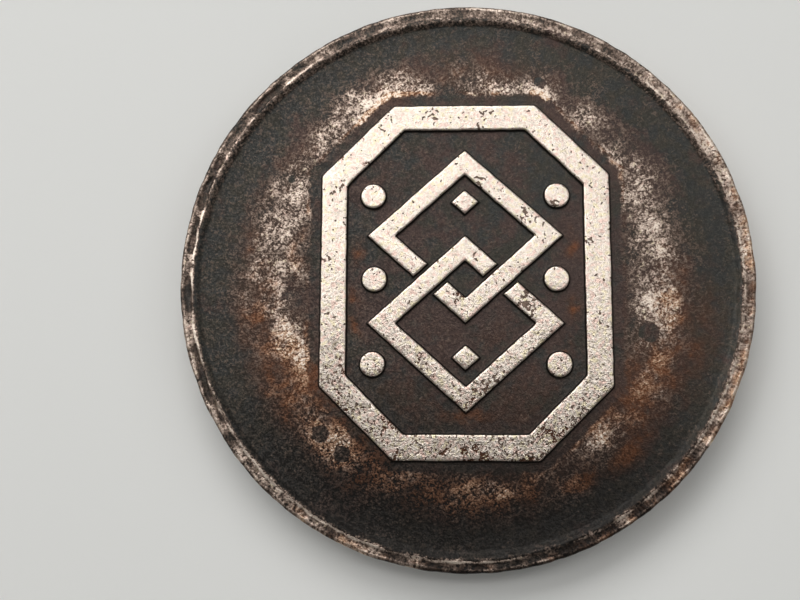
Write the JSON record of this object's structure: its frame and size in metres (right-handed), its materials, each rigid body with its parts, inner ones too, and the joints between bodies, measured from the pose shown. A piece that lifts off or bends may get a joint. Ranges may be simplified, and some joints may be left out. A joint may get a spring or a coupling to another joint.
{
  "type": "silver coin",
  "caption": "Round struck silver coin with a narrow raised rim, sunk fields and flat raised geometric ornament on both faces.",
  "frame": {"origin": "middle of the reverse, in the plane of the reverse rim's flat top, on the surface that the coin lies on", "axes": "+Z along the coin's axis, out of the obverse; +Y to the top of the obverse ornament; +X to its right"},
  "size_m": [0.041, 0.041, 0.0032],
  "materials": {
    "toned_silver": "worn silver with dark brown and grey toning in the fields, bright on the ornament"
  },
  "bodies": {
    "root": {"struck_coin": "toned_silver"}
  },
  "joints": []
}
